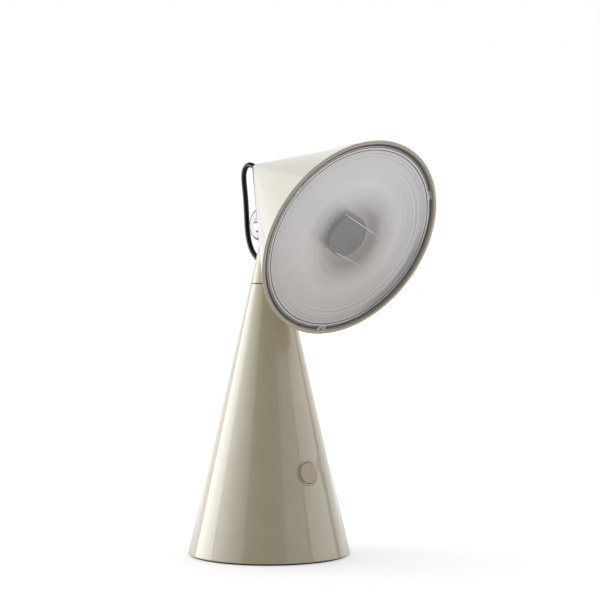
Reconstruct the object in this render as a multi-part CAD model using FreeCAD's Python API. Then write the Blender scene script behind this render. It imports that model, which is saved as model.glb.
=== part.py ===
import FreeCAD, Part
import math
import os

# Tabletop searchlight lamp, millimetres.
# Origin in the middle of the underside, +Z up, front (head and button) towards -Y.
# The head tilts about an axis along X.

# Outer form of the base and the neck, one line from the lower edge to the tilt axis
base_radius = 77.0
split_radius = 17.97
neck_top_radius = 4.96
edge_height = 1.6
split_height = 256.3
split_gap = 1.0
neck_rise = 55.1
base_wall = 2.0
edge_round = 0.6

# Outer form of the head
head_rim_radius = 97.0
head_half_angle = 30.6
head_droop = 26.64
head_wall = 1.8
pivot_along = 50.1
pivot_standoff = 8.7
tip_radius = 5.0

# Lens mouth of the head
lip_width = 3.6
lip_round = 0.7
pocket_depth = 5.2
pocket_wall = 2.2
ledge_width = 3.7
ledge_thickness = 1.5
ledge_taper = 3.3

# Fresnel lens and gasket
gasket_floor = 0.5
gasket_height = 2.4
gasket_width = 1.5
lens_thickness = 3.0
lens_edge_band = 3.4
lens_groove_count = 12
lens_groove_depth = 1.2
lens_core_radius = 8.0
lens_line_inset = 0.9
lens_line_width = 0.5
lens_line_depth = 0.5

# Lens clips
clip_count = 3
clip_start_angle = 30.0
clip_width = 9.0
clip_reach = 2.6
clip_thickness = 0.5

# Light source in the head
module_along = 88.0
module_step_radius = 44.0
module_step_taper = 7.0
module_plate_thickness = 2.5
module_screw_count = 3
module_screw_circle = 46.8
module_screw_radius = 1.5
module_screw_depth = 3.5
wire_hole_radius = 4.0
sink_radius = 29.0
sink_core = 4.0
sink_fin_length = 15.0
sink_fin_thickness = 1.6
sink_fin_pitch = 5.2
barrel_radius = 20.0
barrel_wall = 1.6
barrel_length = 67.1
window_thickness = 1.5
window_recess = 0.6
window_ring_count = 3
window_ring_depth = 0.4
board_radius = 15.0
board_thickness = 1.6
emitter_radius = 7.0
emitter_height = 2.2
liner_wall = 1.0
dish_depth = 20.0
dish_middle_share = 0.35

# Tilt hinge
cheek_radius = 15.4
cheek_face = 13.0
cheek_round = 2.7
cheek_dish_radius = 7.6
cheek_dish_depth = 1.5
tongue_width = 12.0
friction_washer_thickness = 0.8
friction_washer_radius = 5.0
eye_radius = 8.0
web_half_width = 7.4
shoulder_relief = 0.5
axle_radius = 3.0
axle_blind = 10.0
bolt_head_radius = 4.5
bolt_head_height = 2.8
bolt_socket_radius = 2.3
bolt_socket_depth = 1.6
saddle_half_length = 14.0
saddle_depth = 4.0
stud_spacing = 17.0
stud_radius = 1.5
stud_length = 7.4
bracket_nut_flats = 5.5
bracket_nut_height = 2.4
tilt_down = 18.0
tilt_up = 75.0
stop_pin_radius = 1.2
stop_pin_circle = 6.4
stop_pin_reach = 9.5
stop_notch_floor = 5.05
stop_spare_angle = 0.6

# Swivel at the split line
top_disc = 6.0
bush_radius = 8.0
bush_flange_radius = 9.5
stem_radius = 6.0
stem_bore = 3.6
stem_length = 21.3
washer_inset = 0.9
thrust_washer_radius = 11.0
thrust_washer_thickness = 1.0
stop_washer_radius = 12.0
stop_washer_thickness = 1.6
stop_nose_width = 3.0
stop_circle = 15.3
stop_post_radius = 1.5
stop_post_spare = 0.8
swivel_nut_flats = 18.0
swivel_nut_height = 4.0
chamber_radius = 5.5
chamber_floor = 4.7
chamber_height = 11.0

# Underside
pad_thickness = 2.8
pad_inset = 0.35
plate_thickness = 2.4
boss_count = 4
boss_start_angle = 45.0
boss_inset = 9.5
boss_radius = 4.0
boss_height = 17.0
plate_screw_radius = 1.5
plate_screw_length = 12.0
plate_screw_head = 3.4
countersink_depth = 1.9
ballast_inset = 20.0
ballast_height = 27.0
ballast_bore = 6.0
ballast_draft = 2.0
ballast_bolt_count = 3
ballast_bolt_circle = 40.0
ballast_bolt_radius = 2.5
ballast_bolt_length = 14.0
ballast_bolt_head = 4.6

# Batteries and control board
cell_radius = 9.2
cell_length = 65.0
cell_count = 3
cell_pitch = 20.0
cell_set_back = 10.0
cell_cap_radius = 2.8
cell_cap_height = 0.8
tray_floor = 2.5
tray_cup_height = 8.0
tray_cup_wall = 1.4
tie_offset = 8.5
tie_radius = 1.6
tie_depth = 8.0
tie_head_radius = 2.8
tie_head_height = 2.0
pillar_height = 6.0
pillar_radius = 2.6
board_length = 52.0
board_width = 30.0
circuit_board_thickness = 1.6
board_margin = 4.0
board_screw_radius = 1.1
board_screw_head = 2.1
board_screw_head_height = 1.3
board_screw_depth = 4.0
coil_radius = 5.0
coil_height = 6.0
coil_place = 14.0
plug_width = 10.0
plug_depth = 7.0
plug_height = 6.2
chip_side = 9.0
chip_height = 1.2

# Charging inlet at the back
inlet_height = 19.0
inlet_width = 9.0
inlet_thickness = 3.3
inlet_length = 8.0
inlet_shell = 0.3
inlet_depth = 6.4
inlet_tongue_width = 6.6
inlet_tongue_thickness = 0.7
inlet_tongue_length = 5.0
inlet_board_width = 18.0
inlet_board_length = 10.6
bracket_leg_radius = 2.0
bracket_leg_spacing = 13.0
bracket_foot = 1.2

# Button
button_height = 81.5
cap_radius = 9.65
cap_proud = 0.8
cap_thickness = 2.0
cap_skirt = 1.5
cap_skirt_depth = 6.6
cap_shoulder_radius = 10.7
cap_shoulder_height = 1.2
cap_stem_radius = 2.0
cap_stem_depth = 8.6
cap_edge_round = 0.5
bezel_wall = 0.85
bezel_flange = 0.6
bezel_proud = 0.4
bezel_depth = 5.2
bezel_reveal = 0.45
bezel_reveal_depth = 0.6
cap_gap = 0.45
housing_wall = 3.0
housing_depth = 13.0
housing_floor = 2.5
switch_side = 7.4
switch_height = 3.2
switch_plunger_radius = 1.7
switch_plunger_height = 0.5
spring_radius = 6.5
spring_wire = 0.6

# Leads
lead_radius = 2.6
lead_entry_rise = 19.8
lead_entry_slope = 33.7
lead_entry_run = 11.3
lead_tip_run = 6.7
entry_sleeve_out = 1.5
entry_sleeve_in = 6.0
grommet_wall = 1.2
tip_bore = 3.9
tip_flange = 1.1
tip_flange_radius = 4.7

# Clearances
fit_clearance = 0.05
cap_clearance = 0.3
seat_clearance = 0.1
slot_clearance = 0.15
plate_clearance = 0.3
drill_spare = 0.3

# Routes of the leads, all in the middle plane
# Free part of the jumper lead as (y, height over the tilt axis)
jumper_free_route = [
    (33.5, 58.0),
    (38.6, 53.3),
    (39.5, 44.5),
    (36.6, 28.0),
    (35.0, 12.0),
    (33.8, -4.5),
    (30.5, -18.0),
]
# The lead in the base as (y, share of the way up from the plug to the stem)
base_slack = [(12.0, 0.0), (13.0, 0.175), (11.0, 0.375), (5.0, 0.6), (0.0, 0.815), (0.0, 1.0)]
# The lead in the head as (height over the head's axis, share of the way from tip to light source)
head_slack = [(0.0, 0.0), (0.0, 0.13), (3.0, 0.32), (3.0, 0.53), (0.5, 0.77), (-0.5, 1.0)]

V = FreeCAD.Vector
X_AXIS = V(1, 0, 0)
Y_AXIS = V(0, 1, 0)
Z_AXIS = V(0, 0, 1)
MIDDLE = V(0, 0, 0)
FAR = 4.0 * base_radius
FULL_TURN = 360.0

# Values that follow from the driving sizes
neck_bottom = split_height + split_gap
pivot_height = neck_bottom + neck_rise
flank_tan = (base_radius - split_radius) / (split_height - edge_height)
flank_angle = math.degrees(math.atan(flank_tan))
flank_cos = math.cos(math.radians(flank_angle))
neck_tan = (split_radius - split_gap * flank_tan - neck_top_radius) / neck_rise
head_tan = math.tan(math.radians(head_half_angle))
head_cos = math.cos(math.radians(head_half_angle))


def flank_radius(height):
    """Outer radius of the base at a height."""
    return base_radius - (height - edge_height) * flank_tan


def neck_radius(height):
    """Outer radius of the neck at a height."""
    return neck_top_radius + (pivot_height - height) * neck_tan


def inner_flank_radius(height):
    """Inner radius of the base's wall at a height."""
    return flank_radius(height) - base_wall / flank_cos


def head_radius(along):
    """Outer radius of the head at a distance from its virtual apex."""
    return along * head_tan


def inner_head_radius(along):
    """Inner radius of the head's wall at a distance from its virtual apex."""
    return head_radius(along) - head_wall / head_cos


rim_along = head_rim_radius / head_tan
tip_along = tip_radius / head_tan
pivot_drop = pivot_along * head_tan + pivot_standoff / head_cos
pocket_floor_along = rim_along - pocket_depth
pocket_floor_radius = head_radius(pocket_floor_along) - pocket_wall
mouth_radius = head_rim_radius - lip_width
ledge_radius = pocket_floor_radius - ledge_width
lens_radius = pocket_floor_radius - gasket_width
lens_back = pocket_floor_along + gasket_floor
lens_front = lens_back + lens_thickness
module_front = module_along + module_plate_thickness
plate_top = pad_thickness + plate_thickness
boss_circle = base_radius - boss_inset
ballast_radius = base_radius - ballast_inset
ballast_top = plate_top + ballast_height
disc_bottom = split_height - top_disc
stem_bottom = neck_bottom - stem_length
cheek_inner = tongue_width / 2 + friction_washer_thickness
bezel_radius = cap_radius + cap_gap + bezel_wall
housing_bore = bezel_radius + fit_clearance
cell_bottom = ballast_top + tray_floor
cell_top = cell_bottom + cell_length
cap_bottom = cell_top + cell_cap_height
cap_top = cap_bottom + tray_floor
board_bottom = cap_top + pillar_height
board_top = board_bottom + circuit_board_thickness
plug_top = board_top + plug_height

# Frames: the head's axis, its lower wall at the pivot, and the flank at the button
head_frame = FreeCAD.Placement(V(0, 0, pivot_height), FreeCAD.Rotation(X_AXIS, 90 + head_droop)).multiply(
    FreeCAD.Placement(V(0, pivot_drop, -pivot_along), FreeCAD.Rotation())
)
wall_frame = FreeCAD.Placement(
    V(0, 0, pivot_height), FreeCAD.Rotation(X_AXIS, head_droop + head_half_angle)
)
button_frame = FreeCAD.Placement(
    V(0, -flank_radius(button_height), button_height), FreeCAD.Rotation(X_AXIS, 90 - flank_angle)
)

# Where the lead leaves the neck and the tip of the head
entry_direction = V(
    0, math.cos(math.radians(lead_entry_slope)), math.sin(math.radians(lead_entry_slope))
)
lead_entry_height = neck_bottom + lead_entry_rise
entry_point = V(0, neck_radius(lead_entry_height), lead_entry_height)
neck_exit = entry_point + entry_direction * entry_sleeve_out
tip_exit_along = tip_along - tip_flange
tip_exit = head_frame.multVec(V(0, 0, tip_exit_along))
tip_lead_end = head_frame.multVec(V(0, 0, tip_exit_along - lead_tip_run))


# Helpers
def turned(outline):
    """Solid turned about Z from a closed outline of (radius, height) corners."""
    corners = [V(radius, 0, height) for radius, height in outline]
    wire = Part.makePolygon(corners + corners[:1])
    return Part.Face(wire).revolve(MIDDLE, Z_AXIS, FULL_TURN)


def rod(radius, bottom, top, x=0.0, y=0.0):
    """Upright round rod."""
    return Part.makeCylinder(radius, top - bottom, V(x, y, bottom))


def ring(outer, inner, bottom, top, x=0.0, y=0.0):
    """Upright round tube."""
    return rod(outer, bottom, top, x, y).cut(rod(inner, bottom, top, x, y))


def cross_rod(radius, start, end, height=pivot_height):
    """Round rod along X through the tilt axis, between two X positions."""
    return Part.makeCylinder(radius, end - start, V(start, 0, height), X_AXIS)


def block(length, width, bottom, top, x=0.0, y=0.0):
    """Upright block, centred on x and y."""
    corner = V(x - length / 2, y - width / 2, bottom)
    return Part.makeBox(length, width, top - bottom, corner)


def hexagon(flats, bottom, top, bore):
    """Hexagonal nut about Z."""
    reach = flats / math.sqrt(3)
    corners = [V(reach, 0, bottom)]
    for step in range(1, 7):
        angle = math.radians(60 * step)
        corners.append(V(reach * math.cos(angle), reach * math.sin(angle), bottom))
    body = Part.Face(Part.makePolygon(corners)).extrude(V(0, 0, top - bottom))
    return body.cut(rod(bore, bottom, top))


def slot_bar(width, thickness, start, end, height):
    """Bar along Y with a section that is round at both sides."""
    half = (width - thickness) / 2
    middle = Part.makeBox(2 * half, end - start, thickness, V(-half, start, height - thickness / 2))
    left = Part.makeCylinder(thickness / 2, end - start, V(-half, start, height), Y_AXIS)
    right = Part.makeCylinder(thickness / 2, end - start, V(half, start, height), Y_AXIS)
    return middle.fuse([left, right]).removeSplitter()


def polar(count, radius, start=0.0):
    """Places on a circle, as (x, y)."""
    places = []
    for index in range(count):
        angle = math.radians(start + FULL_TURN * index / count)
        places.append((radius * math.cos(angle), radius * math.sin(angle)))
    return places


def placed(shape, frame):
    """Copy of a shape moved into a frame."""
    copy = shape.copy()
    copy.Placement = frame.multiply(copy.Placement)
    return copy


def round_edges(shape, radius, chosen):
    """Round the edges for which chosen(edge) is true."""
    edges = [edge for edge in shape.Edges if chosen(edge)]
    return shape.makeFillet(radius, edges)


def is_circle(edge, radius, height):
    """True for a circle about Z of this radius at this height."""
    near = 0.01
    curve = edge.Curve
    if not isinstance(curve, Part.Circle):
        return False
    return abs(curve.Radius - radius) < near and abs(curve.Center.z - height) < near


def tube(points, radius, name):
    """Round tube along straight runs joined by tangent arcs."""
    share = 0.45
    edges = []
    start = points[0]
    length = 0.0
    radii = []
    for before, corner, after in zip(points, points[1:], points[2:]):
        inward = (before - corner).normalize()
        outward = (after - corner).normalize()
        run = min((before - corner).Length, (after - corner).Length)
        half_turn = (math.pi - inward.getAngle(outward)) / 2
        setback = share * run
        arc_start = corner + inward * setback
        arc_end = corner + outward * setback
        arc_radius = setback / math.tan(half_turn)
        bisector = (inward + outward).normalize()
        centre = corner + bisector * (arc_radius / math.cos(half_turn))
        arc_middle = centre - bisector * arc_radius
        edges.append(Part.LineSegment(start, arc_start).toShape())
        edges.append(Part.Arc(arc_start, arc_middle, arc_end).toShape())
        length += (arc_start - start).Length + 2 * half_turn * arc_radius
        radii.append(round(arc_radius, 1))
        start = arc_end
    edges.append(Part.LineSegment(start, points[-1]).toShape())
    length += (points[-1] - start).Length
    path = Part.Wire(edges)
    circle = Part.Circle(points[0], points[1] - points[0], radius)
    section = Part.Wire(circle.toShape())
    solid = path.makePipeShell([section], True, False)
    ratio = solid.Volume / (math.pi * radius * radius * length)
    print(name, "length", round(length, 1), "radii", radii, "volume ratio", round(ratio, 4))
    return solid


def spread(slack, start, end):
    """Points in the middle plane from (y, share of the way from start to end) pairs."""
    return [V(0, y, start + share * (end - start)) for y, share in slack]


# Base
def make_base_shell():
    """Painted cone with its top disc, screw bosses, stop post, button bore and inlet slot."""
    outline = [
        (inner_flank_radius(edge_height), edge_height),
        (base_radius, edge_height),
        (flank_radius(split_height), split_height),
        (bush_radius, split_height),
        (bush_radius, disc_bottom),
        (inner_flank_radius(disc_bottom), disc_bottom),
    ]
    shell = turned(outline)
    shell = round_edges(shell, edge_round, lambda edge: is_circle(edge, base_radius, edge_height))
    envelope = turned([
        (0, edge_height),
        (base_radius - base_wall / 2, edge_height),
        (flank_radius(split_height) - base_wall / 2, split_height),
        (0, split_height),
    ])
    for x, y in polar(boss_count, boss_circle, boss_start_angle):
        boss = rod(boss_radius, plate_top, plate_top + boss_height, x, y).common(envelope)
        shell = shell.fuse(boss)
    for x, y in polar(boss_count, boss_circle, boss_start_angle):
        depth = pad_thickness + plate_screw_length + drill_spare
        shell = shell.cut(rod(plate_screw_radius + fit_clearance, plate_top, depth, x, y))
    washers = thrust_washer_thickness + stop_washer_thickness
    post_end = disc_bottom - washers - stop_post_spare
    shell = shell.fuse(rod(stop_post_radius, post_end, disc_bottom, 0.0, stop_circle))
    bore = rod(bezel_radius + fit_clearance, -housing_depth, housing_depth)
    shell = shell.cut(placed(bore, button_frame))
    reveal = rod(bezel_radius + bezel_flange + bezel_reveal, -housing_depth, housing_depth)
    reveal = reveal.cut(flank_cone(-bezel_reveal_depth))
    shell = shell.cut(placed(reveal, button_frame))
    slot = slot_bar(
        inlet_width + 2 * slot_clearance,
        inlet_thickness + 2 * slot_clearance,
        flank_radius(inlet_height) - boss_radius * 2,
        FAR,
        inlet_height,
    )
    return shell.cut(slot).removeSplitter()


def countersunk(radius, head_radius_, length, bottom, x, y):
    """Countersunk screw with its flat head down."""
    cone = Part.makeCone(head_radius_, radius, countersink_depth, V(x, y, bottom))
    return cone.fuse(rod(radius, bottom, bottom + length, x, y)).removeSplitter()


def make_base_plate():
    """Closing plate with countersunk holes."""
    plate = rod(inner_flank_radius(plate_top) - plate_clearance, pad_thickness, plate_top)
    plate = plate.makeChamfer(edge_round, [plate.Edges[0]])
    for x, y in polar(boss_count, boss_circle, boss_start_angle):
        hole = countersunk(
            plate_screw_radius + fit_clearance,
            plate_screw_head + fit_clearance,
            plate_screw_length,
            pad_thickness,
            x,
            y,
        )
        plate = plate.cut(hole)
    for x, y in polar(ballast_bolt_count, ballast_bolt_circle, 90.0):
        hole = countersunk(
            ballast_bolt_radius + fit_clearance,
            ballast_bolt_head + fit_clearance,
            ballast_bolt_length,
            pad_thickness,
            x,
            y,
        )
        plate = plate.cut(hole)
    return plate


def make_plate_screws():
    """Screws from the plate into the bosses."""
    screws = []
    for x, y in polar(boss_count, boss_circle, boss_start_angle):
        screws.append(
            countersunk(plate_screw_radius, plate_screw_head, plate_screw_length, pad_thickness, x, y)
        )
    return Part.makeCompound(screws)


def make_foot_pad():
    """Dark pad under the plate, set in from the edge of the cone."""
    return rod(inner_flank_radius(pad_thickness) - pad_inset, 0.0, pad_thickness)


def make_ballast():
    """Cast weight with draft, a middle bore and bolt holes."""
    weight = turned([
        (ballast_bore, plate_top),
        (ballast_radius, plate_top),
        (ballast_radius - ballast_draft, ballast_top - ballast_draft),
        (ballast_radius - 2 * ballast_draft, ballast_top),
        (ballast_bore, ballast_top),
    ])
    for x, y in polar(ballast_bolt_count, ballast_bolt_circle, 90.0):
        depth = pad_thickness + ballast_bolt_length + drill_spare
        weight = weight.cut(rod(ballast_bolt_radius + fit_clearance, plate_top, depth, x, y))
    for x, y in tie_places():
        hole = rod(tie_radius + fit_clearance, ballast_top - tie_depth - drill_spare, ballast_top, x, y)
        weight = weight.cut(hole)
    return weight


def make_ballast_bolts():
    """Bolts from the plate into the weight."""
    bolts = []
    for x, y in polar(ballast_bolt_count, ballast_bolt_circle, 90.0):
        bolts.append(
            countersunk(
                ballast_bolt_radius, ballast_bolt_head, ballast_bolt_length, pad_thickness, x, y
            )
        )
    return Part.makeCompound(bolts)


# Batteries and board
def cell_places():
    """Middle of each cell, as (x, y)."""
    first = -cell_pitch * (cell_count - 1) / 2
    return [(first + cell_pitch * index, cell_set_back) for index in range(cell_count)]


def tie_places():
    """Long screws in the hollows between the cells, as (x, y)."""
    places = []
    cells = cell_places()
    for (left, y), (right, _) in zip(cells, cells[1:]):
        for side in (-1, 1):
            places.append(((left + right) / 2, y + side * tie_offset))
    return places


def holder_plate(bottom, top):
    """Plate that spans the cells."""
    length = cell_pitch * (cell_count - 1) + 2 * (cell_radius + tray_cup_wall + fit_clearance)
    width = 2 * (cell_radius + tray_cup_wall + fit_clearance)
    return block(length, width, bottom, top, 0.0, cell_set_back)


def make_battery_tray():
    """Lower holder with a cup for each cell."""
    tray = holder_plate(ballast_top, cell_bottom)
    outer = cell_radius + tray_cup_wall
    for x, y in cell_places():
        tray = tray.fuse(rod(outer, ballast_top, cell_bottom + tray_cup_height, x, y))
    for x, y in cell_places():
        tray = tray.cut(
            rod(cell_radius + fit_clearance, cell_bottom, cell_bottom + tray_cup_height, x, y)
        )
    for x, y in tie_places():
        tray = tray.cut(rod(tie_radius + fit_clearance, ballast_top, cell_top, x, y))
    return tray.removeSplitter()


def make_battery_cap():
    """Upper holder with cups and the pillars of the control board."""
    cap = holder_plate(cap_bottom, cap_top)
    outer = cell_radius + tray_cup_wall
    for x, y in cell_places():
        cap = cap.fuse(rod(outer, cap_bottom - tray_cup_height, cap_top, x, y))
    for x, y in cell_places():
        bottom = cap_bottom - tray_cup_height
        cap = cap.cut(rod(cell_radius + fit_clearance, bottom, cap_bottom, x, y))
    for x, y in board_corners():
        cap = cap.fuse(rod(pillar_radius, cap_bottom, board_bottom, x, y))
    for x, y in board_corners():
        bottom = board_top - board_screw_depth - circuit_board_thickness
        cap = cap.cut(rod(board_screw_radius + fit_clearance, bottom, board_bottom, x, y))
    for x, y in tie_places():
        cap = cap.cut(rod(tie_radius + fit_clearance, cell_bottom, cap_top, x, y))
    return cap.removeSplitter()


def make_battery_cells():
    """Round cells with their raised poles."""
    cells = []
    for x, y in cell_places():
        body = rod(cell_radius, cell_bottom, cell_top, x, y)
        pole = rod(cell_cap_radius, cell_top, cap_bottom, x, y)
        cells.append(body.fuse(pole).removeSplitter())
    return Part.makeCompound(cells)


def make_tie_screws():
    """Long screws through cap and tray into the weight."""
    screws = []
    for x, y in tie_places():
        shank = rod(tie_radius, ballast_top - tie_depth, cap_top, x, y)
        head = rod(tie_head_radius, cap_top, cap_top + tie_head_height, x, y)
        screws.append(shank.fuse(head).removeSplitter())
    return Part.makeCompound(screws)


def board_corners():
    """Fixing holes of the control board, as (x, y)."""
    half_length = board_length / 2 - board_margin
    half_width = board_width / 2 - board_margin
    places = []
    for side_x in (-1, 1):
        for side_y in (-1, 1):
            places.append((side_x * half_length, cell_set_back + side_y * half_width))
    return places


def make_control_board():
    """Board with two chokes, a chip and the plug of the lamp's lead."""
    board = block(board_length, board_width, board_bottom, board_top, 0.0, cell_set_back)
    for x, y in board_corners():
        board = board.cut(rod(board_screw_radius + fit_clearance, board_bottom, board_top, x, y))
    for side in (-1, 1):
        coil = ring(
            coil_radius,
            coil_radius / 2,
            board_top,
            board_top + coil_height,
            side * coil_place,
            cell_set_back,
        )
        board = board.fuse(coil)
    plug = block(plug_width, plug_depth, board_top, plug_top, 0.0, base_slack[0][0])
    chip_y = cell_set_back - board_width / 2 + chip_side / 2 + board_margin / 2
    chip = block(chip_side, chip_side / 2, board_top, board_top + chip_height, 0.0, chip_y)
    return board.fuse([plug, chip]).removeSplitter()


def make_board_screws():
    """Screws of the control board."""
    screws = []
    for x, y in board_corners():
        head = rod(board_screw_head, board_top, board_top + board_screw_head_height, x, y)
        shank = rod(board_screw_radius, board_top - board_screw_depth, board_top, x, y)
        screws.append(shank.fuse(head).removeSplitter())
    return Part.makeCompound(screws)


# Charging inlet
inlet_mouth = flank_radius(inlet_height + inlet_thickness / 2) - slot_clearance
inlet_board_top = inlet_height - inlet_thickness / 2
inlet_board_bottom = inlet_board_top - circuit_board_thickness
inlet_board_outer = inner_flank_radius(inlet_board_top) - plate_clearance - slot_clearance
inlet_board_y = inlet_board_outer - inlet_board_length / 2 - slot_clearance


def make_usb_inlet():
    """Metal inlet with its tongue."""
    back = inlet_mouth - inlet_length
    body = slot_bar(inlet_width, inlet_thickness, back, inlet_mouth, inlet_height)
    hollow = slot_bar(
        inlet_width - 2 * inlet_shell,
        inlet_thickness - 2 * inlet_shell,
        inlet_mouth - inlet_depth,
        inlet_mouth,
        inlet_height,
    )
    tongue = Part.makeBox(
        inlet_tongue_width,
        inlet_tongue_length,
        inlet_tongue_thickness,
        V(
            -inlet_tongue_width / 2,
            inlet_mouth - inlet_depth,
            inlet_height - inlet_tongue_thickness / 2,
        ),
    )
    return body.cut(hollow).fuse(tongue).removeSplitter()


def make_inlet_board():
    """Small board that carries the inlet."""
    return block(
        inlet_board_width,
        inlet_board_length,
        inlet_board_bottom,
        inlet_board_top,
        0.0,
        inlet_board_y,
    )


def make_inlet_bracket():
    """Stand between the plate and the inlet's board."""
    foot = block(
        inlet_board_width,
        2 * bracket_leg_radius,
        plate_top,
        plate_top + bracket_foot,
        0.0,
        inlet_board_y,
    )
    legs = []
    for side in (-1, 1):
        x = side * bracket_leg_spacing / 2
        legs.append(rod(bracket_leg_radius, plate_top, inlet_board_bottom, x, inlet_board_y))
    return foot.fuse(legs).removeSplitter()


# Button, built with its axis along Z and the flank at height 0
def flank_cone(offset):
    """Solid cone of the flank, grown by an offset square to the flank, in the button's frame."""
    grow = offset / flank_cos
    cone = turned([
        (0, 0),
        (flank_radius(0) + grow, 0),
        (flank_radius(split_height) + grow, split_height),
        (0, split_height),
    ])
    return placed(cone, button_frame.inverse())


def make_button_bezel():
    """Thin ring with a flange that follows the flank."""
    reach = housing_depth
    bore = cap_radius + cap_gap
    sleeve = rod(bezel_radius, -bezel_depth, 0.0)
    sleeve = sleeve.common(flank_cone(bezel_proud))
    flange = rod(bezel_radius + bezel_flange, -bezel_depth, reach)
    flange = flange.common(flank_cone(bezel_proud)).cut(flank_cone(-bezel_reveal_depth))
    bezel = sleeve.fuse(flange).cut(rod(bore, -bezel_depth, reach))
    return placed(bezel.removeSplitter(), button_frame)


def make_button_cap():
    """Round cap with a skirt, a shoulder that holds it in and a stem."""
    cap = turned([
        (0, cap_proud),
        (cap_radius, cap_proud),
        (cap_radius, -cap_skirt_depth + cap_shoulder_height),
        (cap_shoulder_radius, -cap_skirt_depth + cap_shoulder_height),
        (cap_shoulder_radius, -cap_skirt_depth),
        (cap_radius - cap_skirt, -cap_skirt_depth),
        (cap_radius - cap_skirt, cap_proud - cap_thickness),
        (cap_stem_radius, cap_proud - cap_thickness),
        (cap_stem_radius, -cap_stem_depth),
        (0, -cap_stem_depth),
    ])
    cap = round_edges(cap, cap_edge_round, lambda edge: is_circle(edge, cap_radius, cap_proud))
    return placed(cap, button_frame)


def make_switch_housing():
    """Cup behind the wall, its mouth trimmed to the inside of the cone."""
    cup = rod(housing_bore + housing_wall, -housing_depth - housing_floor, 0.0)
    cup = cup.cut(rod(housing_bore, -housing_depth, 0.0))
    cup = cup.common(flank_cone(-base_wall - seat_clearance))
    return placed(cup, button_frame)


def make_switch_body():
    """Small push switch on the floor of the cup."""
    body = block(switch_side, switch_side, -housing_depth, -housing_depth + switch_height)
    plunger_end = -housing_depth + switch_height + switch_plunger_height
    body = body.fuse(rod(switch_plunger_radius, -housing_depth, plunger_end))
    return placed(body.removeSplitter(), button_frame)


def make_return_spring():
    """Outer shape of the small coil between the cap and the floor of the cup."""
    top = cap_proud - cap_thickness - seat_clearance
    coil = ring(spring_radius, spring_radius - spring_wire, -housing_depth + seat_clearance, top)
    return placed(coil, button_frame)


# Swivel
def make_swivel_bush():
    """Flanged bush in the top disc."""
    return turned([
        (stem_radius + fit_clearance, disc_bottom),
        (bush_radius - fit_clearance, disc_bottom),
        (bush_radius - fit_clearance, split_height),
        (bush_flange_radius, split_height),
        (bush_flange_radius, neck_bottom),
        (stem_radius + fit_clearance, neck_bottom),
    ])


def make_split_washer():
    """Dark washer that shows as the split line."""
    outer = neck_radius(neck_bottom) - washer_inset
    return ring(outer, bush_flange_radius + plate_clearance, split_height, neck_bottom)


def make_thrust_washer():
    """Washer that runs on the underside of the top disc."""
    inner = stem_radius + fit_clearance
    return ring(thrust_washer_radius, inner, disc_bottom - thrust_washer_thickness, disc_bottom)


stop_washer_top = disc_bottom - thrust_washer_thickness
stop_washer_bottom = stop_washer_top - stop_washer_thickness


def make_stop_washer():
    """Washer with a nose that meets the post after almost half a turn each way."""
    nose_end = stop_circle + stop_post_radius
    washer = rod(stop_washer_radius, stop_washer_bottom, stop_washer_top)
    nose = block(stop_nose_width, nose_end, stop_washer_bottom, stop_washer_top, 0.0, -nose_end / 2)
    hole = rod(stem_radius + fit_clearance, stop_washer_bottom, stop_washer_top)
    return washer.fuse(nose).cut(hole).removeSplitter()


def make_swivel_nut():
    """Nut on the stem."""
    bottom = stop_washer_bottom - swivel_nut_height
    return hexagon(swivel_nut_flats, bottom, stop_washer_bottom, stem_radius + fit_clearance)


def make_neck():
    """Turned cone with a hollow stem below and the tongue with its notched eye on top."""
    chamber_bottom = neck_bottom + chamber_floor
    chamber_top = chamber_bottom + chamber_height
    neck = turned([
        (stem_bore, stem_bottom),
        (stem_radius, stem_bottom),
        (stem_radius, neck_bottom),
        (neck_radius(neck_bottom), neck_bottom),
        (neck_top_radius, pivot_height),
        (0, pivot_height),
        (0, chamber_top),
        (chamber_radius, chamber_top),
        (chamber_radius, chamber_bottom),
        (stem_bore, chamber_bottom),
    ])
    web = block(
        tongue_width,
        2 * web_half_width,
        pivot_height - cheek_radius - 2 * shoulder_relief,
        pivot_height,
    )
    eye = cross_rod(eye_radius, -tongue_width / 2, tongue_width / 2)
    neck = neck.fuse([web, eye])
    for start, end in ((-FAR, -tongue_width / 2), (tongue_width / 2, FAR)):
        neck = neck.cut(cross_rod(cheek_radius + shoulder_relief, start, end))
    neck = neck.cut(cross_rod(axle_radius + fit_clearance, -tongue_width, tongue_width))
    neck = neck.cut(stop_notch())
    sleeve_hole = Part.makeCylinder(
        lead_radius + grommet_wall + 2 * fit_clearance,
        entry_sleeve_in + drill_spare + FAR,
        entry_point - entry_direction * (entry_sleeve_in + drill_spare),
        entry_direction,
    )
    lead_hole = Part.makeCylinder(
        lead_radius + 2 * cap_clearance,
        entry_point.y / entry_direction.y,
        V(0, 0, entry_point.z - entry_point.y * entry_direction.z / entry_direction.y),
        entry_direction,
    )
    return neck.cut(sleeve_hole).cut(lead_hole).removeSplitter()


def stop_notch():
    """Sector cut from the top of the eye, as wide as the tilt range and the stop pin."""
    opening = tilt_down + tilt_up + 2 * stop_spare_angle
    opening += 2 * math.degrees(math.asin(stop_pin_radius / stop_pin_circle))
    sector = Part.makeCylinder(
        eye_radius + web_half_width, 2 * tongue_width, V(-tongue_width, 0, 0), X_AXIS, opening
    )
    core = Part.makeCylinder(stop_notch_floor, 2 * tongue_width, V(-tongue_width, 0, 0), X_AXIS)
    sector = sector.cut(core)
    first_edge = sector_start(sector)
    sector.rotate(MIDDLE, X_AXIS, FULL_TURN / 4 - opening / 2 - first_edge)
    sector.translate(V(0, 0, pivot_height))
    return sector


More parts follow.
